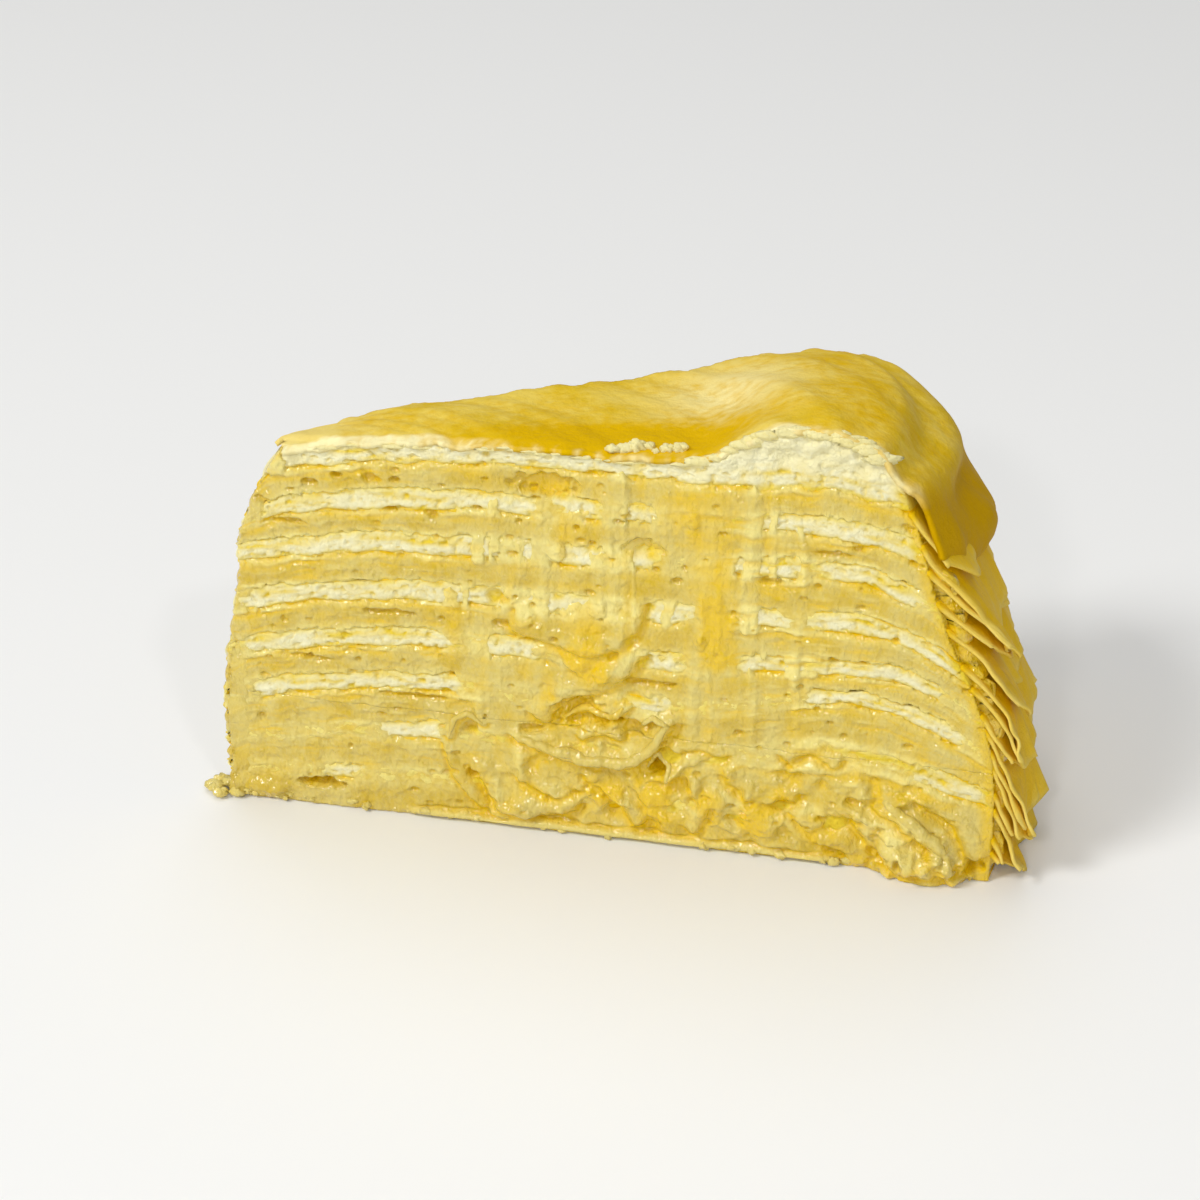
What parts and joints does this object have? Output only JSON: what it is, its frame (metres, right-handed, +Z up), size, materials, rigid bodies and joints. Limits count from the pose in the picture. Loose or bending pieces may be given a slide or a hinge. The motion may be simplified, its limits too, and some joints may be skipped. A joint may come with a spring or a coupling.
{
  "type": "crepe cake slice",
  "caption": "Wedge slice of a tall layered crepe cake: thin crepes with cream and yellow fruit pulp spread between them, their margins hanging over the round rim.",
  "frame": {"origin": "middle of the slice's base, on the surface it stands on", "axes": "+X from the tip to the round rim, +Z up, and the cut face seen from the front faces -Y"},
  "size_m": [0.1206, 0.0556, 0.0675],
  "materials": {
    "top_crepe": "satin golden crepe with soft browned mottling",
    "crepe": "satin pale yellow crepe",
    "cream": "matte, fine pores",
    "pulp": "moist, half glossy, stringy"
  },
  "bodies": {
    "root": {"crepe_00": "crepe", "pulp_0": "pulp", "crepe_01": "crepe", "cream_0": "cream", "crepe_02": "crepe", "pulp_1": "pulp", "crepe_03": "crepe", "cream_1": "cream", "crepe_04": "crepe", "pulp_2": "pulp", "crepe_05": "crepe", "cream_2": "cream", "crepe_06": "crepe", "pulp_3": "pulp", "crepe_07": "crepe", "cream_3": "cream", "crepe_08": "crepe", "pulp_4": "pulp", "crepe_09": "crepe", "cream_4": "cream", "crepe_10": "crepe", "pulp_5": "pulp", "crepe_11": "crepe", "cream_5": "cream", "crepe_12": "crepe", "pulp_6": "pulp", "crepe_13": "crepe", "cream_6": "cream", "crepe_14": "crepe", "pulp_7": "pulp", "crepe_15": "crepe", "cream_7": "cream", "top_crepe": "top_crepe"}
  },
  "joints": []
}
